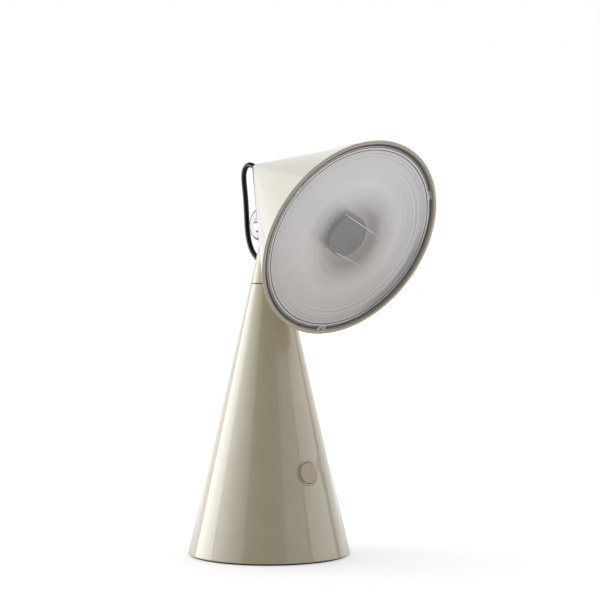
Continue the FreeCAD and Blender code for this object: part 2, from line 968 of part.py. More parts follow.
def sector_start(sector):
    """Angle from Y towards Z at which a sector about X begins."""
    angles = []
    for vertex in sector.Vertexes:
        angles.append(math.degrees(math.atan2(vertex.Z, vertex.Y)) % FULL_TURN)
    angles.sort()
    widest = 0.0
    start = angles[0]
    for here, there in zip(angles, angles[1:] + [angles[0] + FULL_TURN]):
        if there - here > widest:
            widest = there - here
            start = there
    return start


def make_neck_grommet():
    """Black sleeve where the lead goes into the neck."""
    start = entry_point - entry_direction * entry_sleeve_in
    length = entry_sleeve_in + entry_sleeve_out
    outer = lead_radius + grommet_wall + fit_clearance
    sleeve = Part.makeCylinder(outer, length, start, entry_direction)
    bore = Part.makeCylinder(lead_radius + fit_clearance, length, start, entry_direction)
    return sleeve.cut(bore)


# Head, built with its axis along Z and the virtual apex at the origin
def head_cone(inset):
    """Solid cone of the head, drawn in square to its wall."""
    shrink = inset / head_cos
    first = shrink / head_tan
    return turned([
        (0, first),
        (head_radius(rim_along) - shrink, rim_along),
        (0, rim_along),
    ])


def stud_places():
    """Studs along the lower wall, as distances from the foot of the pivot."""
    return (-stud_spacing / 2, stud_spacing / 2)


def make_head_shell():
    """Cone with a cut tip, a step for the light source, a lens pocket, studs and hinge slots."""
    bore_end = (tip_bore + head_wall / head_cos) / head_tan
    step_back = module_along - module_step_taper
    ledge_back = pocket_floor_along - ledge_thickness
    taper_end = ledge_back - ledge_taper
    shell = turned([
        (tip_bore, tip_along),
        (tip_radius, tip_along),
        (head_rim_radius, rim_along),
        (mouth_radius, rim_along),
        (pocket_floor_radius, pocket_floor_along),
        (ledge_radius, pocket_floor_along),
        (ledge_radius, ledge_back),
        (inner_head_radius(taper_end), taper_end),
        (inner_head_radius(module_along), module_along),
        (module_step_radius, module_along),
        (inner_head_radius(step_back), step_back),
        (tip_bore, bore_end),
    ])

    def at_lip(edge):
        outer = is_circle(edge, head_rim_radius, rim_along)
        return outer or is_circle(edge, mouth_radius, rim_along)

    shell = round_edges(shell, lip_round, at_lip)
    for x, y in polar(module_screw_count, module_screw_circle, 90.0):
        bottom = module_along - module_screw_depth - drill_spare
        shell = shell.cut(rod(module_screw_radius + fit_clearance, bottom, module_along, x, y))
    shell = placed(shell, head_frame)
    for offset in stud_places():
        stud = rod(
            stud_radius,
            pivot_standoff + head_wall / 2,
            pivot_standoff + head_wall + stud_length,
            0.0,
            offset,
        )
        shell = shell.fuse(placed(stud, wall_frame))
    for start, end in ((cheek_inner, cheek_face), (-cheek_face, -cheek_inner)):
        slot = cross_rod(cheek_radius + slot_clearance, start - slot_clearance, end + slot_clearance)
        shell = shell.cut(slot)
    return shell.removeSplitter()


def make_tip_grommet():
    """Black bush in the cut tip."""
    bore_end = (tip_bore + head_wall / head_cos) / head_tan
    bush = turned([
        (lead_radius + fit_clearance, tip_along - tip_flange),
        (tip_flange_radius - tip_flange / 2, tip_along - tip_flange),
        (tip_flange_radius, tip_along - tip_flange / 2),
        (tip_flange_radius, tip_along),
        (tip_bore - fit_clearance, tip_along),
        (tip_bore - fit_clearance, bore_end),
        (lead_radius + fit_clearance, bore_end),
    ])
    return placed(bush, head_frame)


def make_module_plate():
    """Disc on the step, with a hole for the lead and screw holes."""
    radius = inner_head_radius(module_along) - plate_clearance
    plate = ring(radius, wire_hole_radius, module_along, module_front)
    for x, y in polar(module_screw_count, module_screw_circle, 90.0):
        plate = plate.cut(rod(module_screw_radius + fit_clearance, module_along, module_front, x, y))
    return placed(plate, head_frame)


module_screw_head = 1.75 * module_screw_radius
module_screw_head_height = module_screw_radius


def make_module_screws():
    """Screws of the disc, into the step of the shell."""
    screws = []
    for x, y in polar(module_screw_count, module_screw_circle, 90.0):
        head = rod(module_screw_head, module_front, module_front + module_screw_head_height, x, y)
        shank = rod(module_screw_radius, module_along - module_screw_depth, module_front, x, y)
        screws.append(shank.fuse(head).removeSplitter())
    return placed(Part.makeCompound(screws), head_frame)


def make_heat_sink():
    """Cooler with straight fins behind the disc."""
    core_back = module_along - sink_core
    back = core_back - sink_fin_length
    envelope = turned([
        (0, back),
        (sink_radius - sink_fin_length / 4, back),
        (sink_radius, core_back),
        (0, core_back),
    ])
    sink = rod(sink_radius, core_back, module_along)
    count = int(sink_radius // sink_fin_pitch)
    for index in range(-count, count + 1):
        fin = block(
            sink_fin_thickness, 2 * sink_radius, back, core_back, index * sink_fin_pitch, 0.0
        )
        sink = sink.fuse(fin.common(envelope))
    hub = rod(wire_hole_radius + sink_fin_thickness, back, core_back)
    sink = sink.fuse(hub).cut(rod(wire_hole_radius, back, module_along))
    return placed(sink.removeSplitter(), head_frame)


def make_led_board():
    """Round board on the disc."""
    board = rod(board_radius, module_front, module_front + board_thickness)
    return placed(board, head_frame)


def make_led_emitter():
    """Round light-emitting field with its low dome."""
    bottom = module_front + board_thickness
    disc = rod(emitter_radius, bottom, bottom + emitter_height)
    disc = round_edges(
        disc,
        emitter_height / 2,
        lambda edge: is_circle(edge, emitter_radius, bottom + emitter_height),
    )
    return placed(disc, head_frame)


def make_led_barrel():
    """Tube round the light source, with a seat for its window."""
    top = module_front + barrel_length
    seat = top - window_recess - window_thickness
    barrel = turned([
        (barrel_radius - barrel_wall, module_front),
        (barrel_radius, module_front),
        (barrel_radius, top),
        (barrel_radius - barrel_wall / 2, top),
        (barrel_radius - barrel_wall / 2, seat),
        (barrel_radius - barrel_wall, seat),
    ])
    return placed(barrel, head_frame)


def make_barrel_window():
    """Round window near the end of the barrel, with a few flat ring steps in front."""
    top = module_front + barrel_length - window_recess
    radius = barrel_radius - barrel_wall / 2 - fit_clearance
    window = rod(radius, top - window_thickness, top)
    pitch = radius / window_ring_count
    for index in range(1, window_ring_count):
        outer = index * pitch
        step = ring(outer, outer - pitch / 2, top - window_ring_depth, top)
        window = window.cut(step)
    return placed(window, head_frame)


def dish_arc(rim_radius, rim, hole_radius, depth):
    """Arc of the dish from its rim to its round hole."""
    middle_radius = (rim_radius + hole_radius) / 2
    middle = rim - depth + dish_middle_share * depth
    return Part.Arc(
        V(rim_radius, 0, rim), V(middle_radius, 0, middle), V(hole_radius, 0, rim - depth)
    ).toShape()


def make_inner_liner():
    """Pale skirt inside the shell that ends in a dish round the barrel."""
    front = pocket_floor_along - ledge_thickness - ledge_taper - plate_clearance
    gap = plate_clearance
    skin = liner_wall / head_cos
    hole = barrel_radius + plate_clearance
    back_rim = front - liner_wall - dish_depth / 20
    face_rim_radius = inner_head_radius(front) - gap - skin
    back_rim_radius = inner_head_radius(back_rim) - gap - skin
    face = dish_arc(face_rim_radius, front, hole, dish_depth)
    back = dish_arc(back_rim_radius, back_rim, hole, back_rim - front + dish_depth + liner_wall)
    foot_radius = inner_head_radius(module_front) - gap
    corners = [
        V(back_rim_radius, 0, back_rim),
        V(foot_radius - skin, 0, module_front),
        V(foot_radius, 0, module_front),
        V(inner_head_radius(front) - gap, 0, front),
        V(face_rim_radius, 0, front),
    ]
    edges = [face, back]
    edges.append(Part.makeLine(V(hole, 0, front - dish_depth), V(hole, 0, front - dish_depth - liner_wall)))
    for start, end in zip(corners, corners[1:]):
        edges.append(Part.makeLine(start, end))
    wire = Part.Wire(Part.sortEdges(edges)[0])
    liner = Part.Face(wire).revolve(MIDDLE, Z_AXIS, FULL_TURN)
    return placed(liner, head_frame)


def pocket_radius(along):
    """Radius of the lens pocket's slanted wall."""
    share = (along - pocket_floor_along) / pocket_depth
    return pocket_floor_radius + share * (mouth_radius - pocket_floor_radius)


def make_lens_gasket():
    """Dark ring under and round the lens."""
    top = pocket_floor_along + gasket_height
    gap = fit_clearance
    gasket = turned([
        (ledge_radius + plate_clearance, pocket_floor_along),
        (pocket_radius(pocket_floor_along) - gap, pocket_floor_along),
        (pocket_radius(top) - gap, top),
        (lens_radius + gap, top),
        (lens_radius + gap, lens_back),
        (ledge_radius + plate_clearance, lens_back),
    ])
    return placed(gasket, head_frame)


def make_fresnel_lens():
    """Lens with two fine lines in its flat front and concentric prisms behind."""
    grooved = lens_radius - lens_edge_band
    outline = [(0, lens_front)]
    for line in (grooved, lens_radius - lens_line_inset):
        outline.append((line - lens_line_width / 2, lens_front))
        outline.append((line, lens_front - lens_line_depth))
        outline.append((line + lens_line_width / 2, lens_front))
    outline += [(lens_radius, lens_front), (lens_radius, lens_back)]
    outline.append((grooved, lens_back))
    pitch = (grooved - lens_core_radius) / lens_groove_count
    floor = lens_back + lens_groove_depth
    for index in range(lens_groove_count):
        outer = grooved - index * pitch
        inner = outer - pitch
        slope = (outer + inner) / (2 * grooved)
        outline.append((outer, floor))
        outline.append((inner, floor - lens_groove_depth * slope))
    outline.append((lens_core_radius, floor))
    outline.append((0, lens_back + lens_groove_depth / 2))
    tidy = []
    for corner in outline:
        if not tidy or math.dist(corner, tidy[-1]) > fit_clearance:
            tidy.append(corner)
    return placed(turned(tidy), head_frame)


def clip_places():
    """Angles of the lens clips round the head's axis."""
    return [clip_start_angle + FULL_TURN * index / clip_count for index in range(clip_count)]


def make_lens_clips():
    """Small flat clips that reach from the gasket over the edge of the lens."""
    clips = []
    outer = pocket_radius(lens_front) - plate_clearance
    inner = lens_radius - clip_reach
    for angle in clip_places():
        clip = Part.makeBox(
            outer - inner, clip_width, clip_thickness, V(inner, -clip_width / 2, lens_front)
        )
        leg_bottom = pocket_floor_along + gasket_height
        leg = Part.makeBox(
            outer - lens_radius - 2 * fit_clearance,
            clip_width,
            lens_front - leg_bottom,
            V(lens_radius + 2 * fit_clearance, -clip_width / 2, leg_bottom),
        )
        limit = turned([
            (0, leg_bottom),
            (pocket_radius(leg_bottom) - plate_clearance, leg_bottom),
            (pocket_radius(rim_along) - plate_clearance, rim_along),
            (0, rim_along),
        ])
        clip = clip.fuse(leg).common(limit).removeSplitter()
        clip.rotate(MIDDLE, Z_AXIS, angle)
        clips.append(clip)
    return placed(Part.makeCompound(clips), head_frame)


# Tilt hinge
def make_tilt_bracket():
    """Two polished cheeks joined by a saddle that follows the inside of the shell."""
    bracket = None
    for side in (-1, 1):
        cheek = Part.makeCylinder(
            cheek_radius, cheek_face - cheek_inner, V(side * cheek_inner, 0, 0), X_AXIS * side
        )

        def at_face(edge):
            on_face = abs(edge.CenterOfMass.x - side * cheek_face) < fit_clearance
            return isinstance(edge.Curve, Part.Circle) and on_face

        cheek = round_edges(cheek, cheek_round, at_face)
        ball_radius = (cheek_dish_radius**2 + cheek_dish_depth**2) / (2 * cheek_dish_depth)
        ball_place = side * (cheek_face - cheek_dish_depth + ball_radius)
        cheek = cheek.cut(Part.makeSphere(ball_radius, V(ball_place, 0, 0)))
        bracket = cheek if bracket is None else bracket.fuse(cheek)
    saddle_top = pivot_standoff + head_wall + saddle_depth
    saddle = block(2 * cheek_face, 2 * saddle_half_length, pivot_standoff, saddle_top)
    saddle = placed(saddle, wall_frame).common(placed(head_cone(head_wall + seat_clearance), head_frame))
    bracket = placed(bracket, wall_frame).fuse(saddle)
    for offset in stud_places():
        hole = rod(stud_radius + seat_clearance, 0.0, saddle_top, 0.0, offset)
        bracket = bracket.cut(placed(hole, wall_frame))
    bolt_seat = cheek_face - bolt_head_height - cap_clearance
    bracket = bracket.cut(cross_rod(bolt_head_radius + seat_clearance, bolt_seat, FAR))
    bracket = bracket.cut(cross_rod(axle_radius + fit_clearance, -axle_blind - drill_spare, FAR))
    bracket = bracket.cut(stop_pin(stop_pin_radius + fit_clearance, stop_pin_reach + drill_spare))
    return bracket.removeSplitter()


def make_pivot_bolt():
    """Axle with a socket head, through the right cheek and the eye into the left cheek."""
    seat = cheek_face - bolt_head_height - cap_clearance
    shank = cross_rod(axle_radius, -axle_blind, seat)
    head = cross_rod(bolt_head_radius, seat, seat + bolt_head_height)
    socket = hexagon(2 * bolt_socket_radius, 0.0, bolt_socket_depth, fit_clearance)
    socket = socket.fuse(rod(2 * fit_clearance, 0.0, bolt_socket_depth))
    turn = FreeCAD.Placement(
        V(seat + bolt_head_height - bolt_socket_depth, 0, pivot_height),
        FreeCAD.Rotation(Y_AXIS, 90),
    )
    return shank.fuse(head).cut(placed(socket, turn)).removeSplitter()


def make_friction_washers():
    """Washer on each side of the eye."""
    washers = []
    for start, end in ((tongue_width / 2, cheek_inner), (-cheek_inner, -tongue_width / 2)):
        washer = cross_rod(friction_washer_radius, start, end)
        washers.append(washer.cut(cross_rod(axle_radius + fit_clearance, start, end)))
    return Part.makeCompound(washers)


def stop_pin(radius, reach):
    """Pin between the cheeks, placed so that the notch ends stop it at the tilt limits."""
    lean = math.radians((tilt_up - tilt_down) / 2)
    y = -stop_pin_circle * math.sin(lean)
    z = pivot_height + stop_pin_circle * math.cos(lean)
    return Part.makeCylinder(radius, 2 * reach, V(-reach, y, z), X_AXIS)


def make_tilt_stop_pin():
    """Hardened stop pin."""
    return stop_pin(stop_pin_radius, stop_pin_reach)


def make_bracket_nuts():
    """Nuts on the studs of the shell."""
    bottom = pivot_standoff + head_wall + saddle_depth
    nuts = []
    for offset in stud_places():
        nut = hexagon(
            bracket_nut_flats, bottom, bottom + bracket_nut_height, stud_radius + fit_clearance
        )
        nut.translate(V(0, offset, 0))
        nuts.append(placed(nut, wall_frame))
    return Part.makeCompound(nuts)


# Leads
def make_jumper_lead():
    """Free lead from the tip of the head to the back of the neck."""
    free = [V(0, y, pivot_height + rise) for y, rise in jumper_free_route]
    neck_lead_end = neck_exit + entry_direction * lead_entry_run
    route = [tip_exit, tip_lead_end] + free + [neck_lead_end, neck_exit]
    return tube(route, lead_radius, "jumper_lead")


def make_neck_wiring():
    """Lead inside the neck, down to the end of the stem."""
    turn_height = entry_point.z - entry_point.y * entry_direction.z / entry_direction.y
    route = [neck_exit, V(0, 0, turn_height), V(0, 0, stem_bottom)]
    return tube(route, lead_radius, "neck_wiring")


def make_base_wiring():
    """Lead from the stem to the plug of the control board."""
    route = spread(base_slack, plug_top + slot_clearance, stem_bottom)
    return tube(route, lead_radius, "base_wiring")


def make_head_wiring():
    """Lead inside the head, from the tip to the board of the light source."""
    route = spread(head_slack, tip_exit_along, module_front - drill_spare)
    return placed(tube(route, lead_radius, "head_wiring"), head_frame)


nodes = {
    "base_shell": make_base_shell,
    "base_plate": make_base_plate,
    "plate_screws": make_plate_screws,
    "foot_pad": make_foot_pad,
    "ballast": make_ballast,
    "ballast_bolts": make_ballast_bolts,
    "battery_tray": make_battery_tray,
    "battery_cells": make_battery_cells,
    "battery_cap": make_battery_cap,
    "tie_screws": make_tie_screws,
    "control_board": make_control_board,
    "board_screws": make_board_screws,
    "usb_inlet": make_usb_inlet,
    "inlet_board": make_inlet_board,
    "inlet_bracket": make_inlet_bracket,
    "button_bezel": make_button_bezel,
    "button_cap": make_button_cap,
    "switch_housing": make_switch_housing,
    "switch_body": make_switch_body,
    "return_spring": make_return_spring,
    "swivel_bush": make_swivel_bush,
    "base_wiring": make_base_wiring,
    "split_washer": make_split_washer,
    "thrust_washer": make_thrust_washer,
    "stop_washer": make_stop_washer,
    "swivel_nut": make_swivel_nut,
    "neck": make_neck,
    "neck_grommet": make_neck_grommet,
    "neck_wiring": make_neck_wiring,
    "jumper_lead": make_jumper_lead,
    "tilt_bracket": make_tilt_bracket,
    "pivot_bolt": make_pivot_bolt,
    "friction_washers": make_friction_washers,
    "tilt_stop_pin": make_tilt_stop_pin,
    "bracket_nuts": make_bracket_nuts,
    "head_shell": make_head_shell,
    "tip_grommet": make_tip_grommet,
    "module_plate": make_module_plate,
    "module_screws": make_module_screws,
    "heat_sink": make_heat_sink,
    "led_board": make_led_board,
    "led_emitter": make_led_emitter,
    "led_barrel": make_led_barrel,
    "barrel_window": make_barrel_window,
    "inner_liner": make_inner_liner,
    "lens_gasket": make_lens_gasket,
    "fresnel_lens": make_fresnel_lens,
    "lens_clips": make_lens_clips,
    "head_wiring": make_head_wiring,
}

os.makedirs("parts", exist_ok=True)
for node_name, make in nodes.items():
    shape = make()
    if not shape.isValid():
        print("not valid:", node_name)
    shape.exportStep("parts/" + node_name + ".step")
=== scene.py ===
import math

import bmesh
import bpy
from mathutils import Matrix, Vector


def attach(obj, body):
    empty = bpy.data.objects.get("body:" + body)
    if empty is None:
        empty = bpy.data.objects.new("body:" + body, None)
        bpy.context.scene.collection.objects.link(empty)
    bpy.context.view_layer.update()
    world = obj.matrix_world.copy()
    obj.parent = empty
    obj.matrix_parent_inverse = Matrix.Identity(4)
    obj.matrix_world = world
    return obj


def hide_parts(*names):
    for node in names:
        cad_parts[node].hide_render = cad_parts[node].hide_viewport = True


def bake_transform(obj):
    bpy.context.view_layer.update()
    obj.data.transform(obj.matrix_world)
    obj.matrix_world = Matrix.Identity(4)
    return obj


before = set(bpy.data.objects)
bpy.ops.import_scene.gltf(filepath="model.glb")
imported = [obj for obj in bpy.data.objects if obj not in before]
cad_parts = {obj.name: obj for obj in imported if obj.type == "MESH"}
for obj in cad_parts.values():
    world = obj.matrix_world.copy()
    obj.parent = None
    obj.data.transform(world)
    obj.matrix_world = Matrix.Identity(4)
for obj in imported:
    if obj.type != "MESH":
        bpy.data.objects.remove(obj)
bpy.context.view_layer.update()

# Sizes are in metres and angles in radians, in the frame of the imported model

# Camera
CAMERA_PLACE = (-1.1189, -1.4117, 0.2687)
CAMERA_SIGHT = (0.6337, 0.7734, -0.01536)
CAMERA_LENS = 114.0
SENSOR_WIDTH = 36.0
CAMERA_NEAR = 0.05
CAMERA_FAR = 50.0

# Free lead from the tip of the head to the back of the neck. Steps are those of its smooth
# line between two points of the route
LEAD_DIAMETER = 0.0052
LEAD_SIDES = 24
LEAD_STEPS = 16
LEAD_POINTS = [
    (0.0, 0.02039, 0.36708),
    (0.0, 0.02638, 0.37009),
    (0.0, 0.03350, 0.37040),
    (0.0, 0.03860, 0.36570),
    (0.0, 0.03950, 0.35690),
    (0.0, 0.03660, 0.34040),
    (0.0, 0.03500, 0.32440),
    (0.0, 0.03380, 0.30790),
    (0.0, 0.03050, 0.29440),
    (0.0, 0.02380, 0.28420),
    (0.0, 0.01439, 0.27793),
]

# Head's axis: virtual apex of the cone and droop of the axis
HEAD_APEX = Vector((0.0, 0.026964, 0.370382))
HEAD_DROOP = math.radians(26.64)

# Lens: its two faces as distances from the apex along the axis, its radius and its sides
LENS_BACK = 0.15932
LENS_FRONT = 0.16232
LENS_RADIUS = 0.09022
LENS_SIDES = 256

# Prisms behind the lens, between its plain edge and its plain middle. The land is the share
# of a prism's width that is left flat on each side
PRISM_COUNT = 48
PRISM_DEPTH = 0.0009
PRISM_FLOOR = LENS_BACK + 0.0012
PRISM_LAND = 0.02
EDGE_BAND = 0.0034
PLAIN_CORE = 0.004

# Two fine grooves near the edge of the lens as shares of its radius, and their section
LENS_LINES = (0.9622, 0.9898)
LINE_HALF = 0.0003
LINE_DEPTH = 0.0005
EDGE_CHAMFER = 0.0004

# Two fine straight pale ribs across the middle of the lens, as start and end in its plane.
# Their pale colour is a painted highlight
RIB_LINES = [
    ((-0.0141, 0.0234), (0.0319, 0.0026)),
    ((-0.0123, -0.0142), (0.0235, -0.0283)),
]
RIB_WIDTH = 0.0009
RIB_DEPTH = 0.0008
# Share of a rib's length and share of its full section there
RIB_TAPER = [(0.0, 0.3), (0.15, 1.0), (0.85, 1.0), (1.0, 0.3)]

# Return spring behind the button cap. Its way is the button's axis, steps are those of a turn
SPRING_MIDDLE = Vector((0.0, -0.051565, 0.079897))
SPRING_WAY = Vector((0.0, -0.974179, 0.225778))
SPRING_LENGTH = 0.0114
SPRING_RADIUS = 0.0062
SPRING_WIRE = 0.00028
SPRING_TURNS = 7
SPRING_STEPS = 32
SPRING_SIDES = 8


def head_matrix():
    """Frame of the head: Z along its axis towards the lens, X to the right, Y up the head."""
    along = Vector((0.0, -math.cos(HEAD_DROOP), -math.sin(HEAD_DROOP)))
    across = Vector((1.0, 0.0, 0.0))
    up = along.cross(across)
    turn = Matrix((across, up, along)).transposed()
    return Matrix.Translation(HEAD_APEX) @ turn.to_4x4()


# Node helpers
NOISE_ROUGHNESS = 0.55


def new_material(name):
    """Material with a Principled shader; returns the material, its tree and the shader."""
    material = bpy.data.materials.new(name)
    material.use_nodes = True
    tree = material.node_tree
    shader = tree.nodes["Principled BSDF"]
    return material, tree, shader


def set_inputs(node, values):
    """Set sockets of a node by name."""
    for name, value in values.items():
        node.inputs[name].default_value = value


def object_place(tree):
    """Socket with the place on the object."""
    return tree.nodes.new("ShaderNodeTexCoord").outputs["Object"]


def noise(tree, scale, detail=3.0):
    """Noise in object coordinates; returns its factor socket."""
    texture = tree.nodes.new("ShaderNodeTexNoise")
    set_inputs(texture, {"Scale": scale, "Detail": detail, "Roughness": NOISE_ROUGHNESS})
    tree.links.new(object_place(tree), texture.inputs["Vector"])
    return texture.outputs["Fac"]


def ramp(tree, factor, stops):
    """Colour ramp over (position, colour) stops; returns its colour socket."""
    node = tree.nodes.new("ShaderNodeValToRGB")
    elements = node.color_ramp.elements
    while len(elements) < len(stops):
        elements.new(0.5)
    for element, (position, colour) in zip(elements, stops):
        element.position = position
        element.color = (*colour, 1.0)
    tree.links.new(factor, node.inputs["Fac"])
    return node.outputs["Color"]


def spread_value(tree, factor, low, high, start=0.0, end=1.0):
    """Map a factor from start..end to low..high; returns its socket."""
    node = tree.nodes.new("ShaderNodeMapRange")
    set_inputs(node, {"From Min": start, "From Max": end, "To Min": low, "To Max": high})
    tree.links.new(factor, node.inputs["Value"])
    return node.outputs["Result"]


def math_node(tree, operation, *values):
    """Arithmetic on sockets and numbers; returns its socket."""
    node = tree.nodes.new("ShaderNodeMath")
    node.operation = operation
    for socket, value in zip(node.inputs, values):
        if isinstance(value, float):
            socket.default_value = value
        else:
            tree.links.new(value, socket)
    return node.outputs["Value"]


def vector_node(tree, operation, first, second):
    """Arithmetic on a vector socket and a second vector or factor; returns its socket."""
    node = tree.nodes.new("ShaderNodeVectorMath")
    node.operation = operation
    tree.links.new(first, node.inputs[0])
    other = node.inputs["Scale"] if operation == "SCALE" else node.inputs[1]
    if isinstance(second, bpy.types.NodeSocket):
        tree.links.new(second, other)
    else:
        other.default_value = second
    single = operation in ("DISTANCE", "DOT_PRODUCT")
    return node.outputs["Value" if single else "Vector"]


def bump(tree, shader, height, strength, distance):
    """Fine relief on a shader from a height socket."""
    node = tree.nodes.new("ShaderNodeBump")
    set_inputs(node, {"Strength": strength, "Distance": distance})
    tree.links.new(height, node.inputs["Height"])
    tree.links.new(node.outputs["Normal"], shader.inputs["Normal"])


# Finishes of the record: a mottled colour between two ends of a noise, and wear and grain
# that are finer than the mottle by these factors
MOTTLE_START = 0.3
MOTTLE_END = 0.7
WEAR_SCALE = 3.1
WEAR_DETAIL = 5.0
GRAIN_SCALE = 11.0
GRAIN_DETAIL = 2.0
GRAIN_DEPTH = 0.0002

GLOSSY_COAT = {"Coat Weight": 1.0, "Coat Roughness": 0.004, "Coat IOR": 1.5}
METAL = {"Metallic": 1.0}

# Name: darkest and lightest colour, range of roughness, scale of the mottle, relief, other inputs
FINISHES = {
    "greige_paint": (
        (0.395, 0.353, 0.243), (0.415, 0.373, 0.258), (0.32, 0.42), 45.0, 0.02, GLOSSY_COAT
    ),
    "polished_metal": (
        (0.50, 0.51, 0.53), (0.54, 0.55, 0.57), (0.02, 0.04), 160.0, 0.0, METAL
    ),
    "zinc_steel": ((0.42, 0.42, 0.40), (0.56, 0.56, 0.54), (0.28, 0.45), 220.0, 0.1, METAL),
    "cast_iron": (
        (0.03, 0.03, 0.032), (0.06, 0.06, 0.06), (0.55, 0.8), 300.0, 0.5, {"Metallic": 0.4}
    ),
    "black_rubber": (
        (0.008, 0.008, 0.009), (0.018, 0.018, 0.018), (0.5, 0.7), 400.0, 0.3, {}
    ),
    "black_lead": (
        (0.001, 0.001, 0.001), (0.001, 0.001, 0.001), (0.10, 0.13), 500.0, 0.0,
        {"Specular IOR Level": 0.25},
    ),
    "dark_gasket": ((0.055, 0.05, 0.065), (0.10, 0.092, 0.115), (0.25, 0.4), 300.0, 0.15, {}),
    "black_plastic": (
        (0.012, 0.012, 0.013), (0.02, 0.02, 0.021), (0.35, 0.5), 350.0, 0.2, {}
    ),
    "pale_cap": ((0.42, 0.345, 0.25), (0.46, 0.38, 0.28), (0.35, 0.45), 500.0, 0.1, {}),
    "bezel": (
        (0.33, 0.295, 0.215), (0.36, 0.325, 0.24), (0.3, 0.4), 500.0, 0.05, GLOSSY_COAT
    ),
    "white_liner": (
        (0.74, 0.73, 0.72), (0.78, 0.77, 0.76), (0.16, 0.2), 25.0, 0.0, {"Metallic": 0.5}
    ),
    "barrel_grey": (
        (0.10, 0.10, 0.105), (0.12, 0.12, 0.125), (0.2, 0.3), 300.0, 0.05, GLOSSY_COAT
    ),
    "bare_aluminium": (
        (0.55, 0.55, 0.56), (0.66, 0.66, 0.67), (0.25, 0.4), 260.0, 0.15, METAL
    ),
    "bronze": ((0.42, 0.27, 0.12), (0.55, 0.36, 0.17), (0.3, 0.45), 250.0, 0.1, METAL),
    "board_green": ((0.01, 0.07, 0.03), (0.02, 0.12, 0.05), (0.35, 0.5), 300.0, 0.1, {}),
    "board_white": ((0.70, 0.70, 0.68), (0.80, 0.80, 0.78), (0.4, 0.5), 300.0, 0.05, {}),
    "phosphor": ((0.78, 0.62, 0.16), (0.88, 0.72, 0.24), (0.3, 0.4), 400.0, 0.05, {}),
    "cell_wrap": ((0.03, 0.12, 0.30), (0.05, 0.18, 0.40), (0.25, 0.4), 90.0, 0.05, {}),
}


def plain_finish(name, dark, light, rough, scale, relief, values):
    """Finish with a mottled colour, uneven roughness and a fine relief."""
    material, tree, shader = new_material(name)
    set_inputs(shader, values)
    mottle = ramp(tree, noise(tree, scale), [(MOTTLE_START, dark), (MOTTLE_END, light)])
    tree.links.new(mottle, shader.inputs["Base Color"])
    wear = spread_value(tree, noise(tree, scale * WEAR_SCALE, WEAR_DETAIL), *rough)
    tree.links.new(wear, shader.inputs["Roughness"])
    grain = noise(tree, scale * GRAIN_SCALE, GRAIN_DETAIL)
    bump(tree, shader, grain, relief, GRAIN_DEPTH)
    return material


# Clear plastics: index, roughness of their coat, scale of their unevenness and how far it
# spreads their own roughness
CLEAR_INDEX = 1.2
CLEAR_GLOSS = 0.04
CLEAR_SCALE = 60.0
CLEAR_SPREAD = (0.8, 1.2)


def clear_finish(name, tint, clear, rough):
    """Clear plastic that blurs what lies deep behind it, with a share of haze."""
    material, tree, shader = new_material(name)
    set_inputs(
        shader,
        {
            "Base Color": (*tint, 1.0),
            "IOR": CLEAR_INDEX,
            "Transmission Weight": clear,
            "Coat Weight": 1.0,
            "Coat Roughness": CLEAR_GLOSS,
        },
    )
    uneven = noise(tree, CLEAR_SCALE, GRAIN_DETAIL)
    low, high = (rough * share for share in CLEAR_SPREAD)
    tree.links.new(spread_value(tree, uneven, low, high), shader.inputs["Roughness"])
    return material


# Lens: places below are shares of its radius, measured from its middle
LENS_TINT = (1.0, 0.99, 0.988)
LENS_CLEAR = 0.97
LENS_ROUGHNESS = 0.12
# How clear it is: clear middle, hazier over the steeper prisms, frosted edge
CLEAR_STOPS = [
    (0.0, LENS_CLEAR),
    (0.30, LENS_CLEAR),
    (0.58, 0.38),
    (LENS_LINES[0], 0.38),
    (LENS_LINES[0] + 0.004, 0.28),
]
# Rings in its colour: place, tint, half width and width of the soft edge. The dark
# rings on the two fine grooves are painted shade in the grooves
FAINT_TINT = (0.80, 0.80, 0.81)
GROOVE_SHADE_TINT = (0.12, 0.11, 0.13)
RING_LINES = [
    (0.893, FAINT_TINT, 0.002, 0.002),
    (0.927, FAINT_TINT, 0.002, 0.002),
    (LENS_LINES[0], GROOVE_SHADE_TINT, 0.0035, 0.002),
    (LENS_LINES[1], GROOVE_SHADE_TINT, 0.0035, 0.002),
]
# Painted shade over the prisms: fine dark rings, an uneven wave over the radius. The shade is
# strongest in one direction from the middle and fades to a least share on the other side. A
# reach is where an effect starts and where it is full, over the radius or, in metres, over that
# direction
PRISM_SHADE_SIDE = (0.87, 0.22, -0.43)
PRISM_SHADE_NOISE = {"Scale": 42.0, "Detail": 3.0, "Roughness": 0.7}
PRISM_SHADE_WAVE = (0.36, 0.64)
PRISM_SHADE_SIDE_REACH = (-0.02, 0.06)
PRISM_SHADE_SIDE_LEAST = 0.1
PRISM_SHADE_RADIUS_REACH = (0.42, 0.80)
PRISM_SHADE_CONTRAST = 0.30
# Painted shade: a darker crescent at the edge in the same direction
SHADE_CRESCENT_RADIUS_REACH = (0.865, 0.90)
SHADE_CRESCENT_SIDE_REACH = (0.066, 0.080)
SHADE_CRESCENT_CONTRAST = 0.36
# Painted shade, darker lower down: a slow change of tone over the height in metres, made
# uneven by a soft cloud
HEIGHT_SHADE_STOPS = [
    (0.0, (0.86, 0.825, 0.81)),
    (0.5, (0.965, 0.945, 0.935)),
    (1.0, (1.0, 1.0, 1.0)),
]
HEIGHT_SHADE_HEIGHTS = (-0.03, 0.07)
HEIGHT_SHADE_CLOUD_SCALE = 14.0
HEIGHT_SHADE_CLOUD_HEIGHT = 0.05


